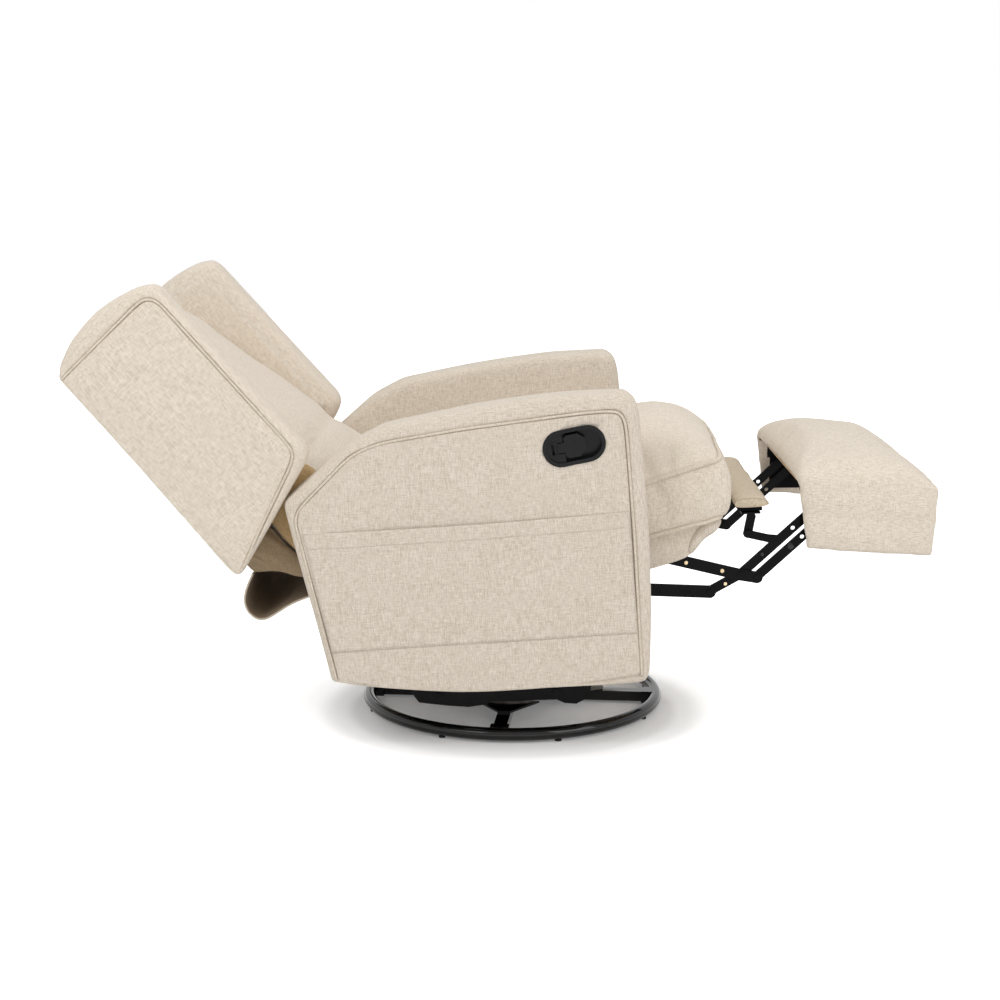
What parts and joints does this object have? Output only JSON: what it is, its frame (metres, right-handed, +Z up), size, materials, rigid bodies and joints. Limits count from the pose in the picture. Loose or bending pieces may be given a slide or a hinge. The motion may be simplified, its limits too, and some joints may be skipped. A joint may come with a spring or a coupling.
{
  "type": "swivel glider recliner",
  "caption": "Padded swivel glider recliner with winged back, side pockets, folding footrest on a link mechanism and a round tube base.",
  "frame": {"origin": "floor level, under the middle of the chair's plan in its reclined pose", "axes": "+X towards the front of the chair, +Y towards the sitter's left side, +Z up"},
  "size_m": [1.6196, 0.7948, 0.8748],
  "materials": {
    "black_steel": "semi-gloss black",
    "zinc": "zinc",
    "rivet": "yellow zinc",
    "spring_wire": "drawn wire",
    "linen": "cream linen weave",
    "linen_trim": "cream linen piping",
    "dust_cloth": "black non-woven",
    "timber": "plain timber",
    "black_plastic": "gloss black",
    "rubber": "matt black",
    "cable": "black sheath"
  },
  "bodies": {
    "base": {"base_ring": "black_steel", "base_cross": "black_steel", "base_feet": "rubber", "swivel_race_lower": "zinc", "swivel_balls": "zinc", "swivel_rivet": "zinc"},
    "glider": {"swivel_race_upper": "zinc", "glider_pan": "black_steel", "glider_side_left": "black_steel", "glider_side_right": "black_steel", "glider_tubes": "black_steel", "glide_pins_upper": "zinc"},
    "glide_front": {"glide_links_front": "black_steel"},
    "glide_rear": {"glide_links_rear": "black_steel"},
    "body": {"body_plate_left": "black_steel", "body_plate_right": "black_steel", "body_tubes": "black_steel", "pivot_bolts": "zinc", "deck_cloth": "dust_cloth", "arm_brackets": "black_steel", "arm_left": "linen", "arm_right": "linen", "arm_frames": "timber", "arm_piping_left": "linen_trim", "arm_piping_right": "linen_trim", "side_pocket_left": "linen_trim", "side_pocket_right": "linen_trim", "rear_rail": "timber", "rear_flap": "linen_trim", "handle_cup": "black_plastic", "release_cable": "cable"},
    "handle": {"handle_paddle": "black_plastic"},
    "seat": {"seat_frame": "timber", "seat_springs": "spring_wire", "seat_hinges": "black_steel", "seat_cushion": "linen", "seat_skirt": "linen_trim"},
    "back": {"back_frame": "timber", "back_springs": "spring_wire", "back_brackets": "black_steel", "back_shell": "linen", "back_cushion": "linen", "wing_left": "linen", "wing_right": "linen", "wing_piping_left": "linen_trim", "wing_piping_right": "linen_trim"},
    "main_arm": {"main_links": "black_steel", "main_rivets": "rivet"},
    "lower_arm": {"lower_links": "black_steel", "lower_rivets": "rivet"},
    "front_arm": {"front_links": "black_steel"},
    "carry_arm": {"carry_links": "black_steel"},
    "footrest": {"rest_brackets": "black_steel", "rest_rivets": "rivet", "rest_board": "timber", "rest_pad": "linen", "rest_flap_left": "linen", "rest_flap_right": "linen"},
    "flipper": {"flip_brackets": "black_steel", "flip_pad": "linen"}
  },
  "joints": [
    {"name": "swivel", "type": "hinge", "parent": "base", "child": "glider", "pos_m": [0.00624, 0, 0.04], "axis": [0, 0, 1], "continuous": true},
    {"name": "glide_swing", "type": "hinge", "parent": "glider", "child": "glide_front", "pos_m": [0.09024, 0, 0.178], "axis": [0, 1, 0], "range_deg": [-10, 10]},
    {"name": "glide_front_low", "type": "hinge", "parent": "glide_front", "child": "body", "pos_m": [0.09024, 0, 0.09], "axis": [0, 1, 0], "range_deg": [-10, 10]},
    {"name": "glide_rear_up", "type": "hinge", "parent": "glider", "child": "glide_rear", "pos_m": [-0.13576, 0, 0.169], "axis": [0, 1, 0], "range_deg": [-10, 10]},
    {"name": "back_recline", "type": "hinge", "parent": "body", "child": "back", "pos_m": [-0.14368, 0, 0.29998], "axis": [0, 1, 0], "range_deg": [0, 26.5]},
    {"name": "seat_tilt", "type": "hinge", "parent": "body", "child": "seat", "pos_m": [0.20624, 0, 0.358], "axis": [0, 1, 0], "range_deg": [0, 2]},
    {"name": "footrest_swing", "type": "hinge", "parent": "body", "child": "main_arm", "pos_m": [0.23124, 0, 0.36798], "axis": [0, 1, 0], "range_deg": [0, 86.5]},
    {"name": "footrest_lower", "type": "hinge", "parent": "body", "child": "lower_arm", "pos_m": [0.1732, 0, 0.33496], "axis": [0, 1, 0], "range_deg": [0, 86.5]},
    {"name": "footrest_front", "type": "hinge", "parent": "main_arm", "child": "front_arm", "pos_m": [0.43727, 0, 0.32003], "axis": [0, 1, 0], "range_deg": [-86.5, 0]},
    {"name": "footrest_carry", "type": "hinge", "parent": "main_arm", "child": "carry_arm", "pos_m": [0.46827, 0, 0.31497], "axis": [0, 1, 0], "range_deg": [-86.5, 0]},
    {"name": "footrest_pad", "type": "hinge", "parent": "carry_arm", "child": "footrest", "pos_m": [0.6182, 0, 0.45478], "axis": [0, 1, 0], "range_deg": [0, 86.5]},
    {"name": "front_pad_flip", "type": "hinge", "parent": "front_arm", "child": "flipper", "pos_m": [0.45023, 0, 0.39796], "axis": [0, 1, 0], "range_deg": [0, 199]},
    {"name": "release_handle", "type": "hinge", "parent": "body", "child": "handle", "pos_m": [0.08192, -0.385, 0.58102], "axis": [0.2045, 0, -0.9789], "range_deg": [0, 35], "stiffness_Nm_per_rad": 0.2, "springref_deg": -5.73}
  ],
  "couplings": [
    {"joint": "glide_front_low", "follows": "glide_swing", "ratio": -1},
    {"joint": "glide_rear_up", "follows": "glide_swing", "ratio": 1},
    {"joint": "seat_tilt", "follows": "back_recline", "ratio": 0.075462},
    {"joint": "footrest_lower", "follows": "footrest_swing", "ratio": 1},
    {"joint": "footrest_front", "follows": "footrest_swing", "ratio": -1},
    {"joint": "footrest_carry", "follows": "footrest_swing", "ratio": -1},
    {"joint": "footrest_pad", "follows": "footrest_swing", "ratio": 1},
    {"joint": "front_pad_flip", "follows": "footrest_swing", "ratio": 2.3}
  ]
}
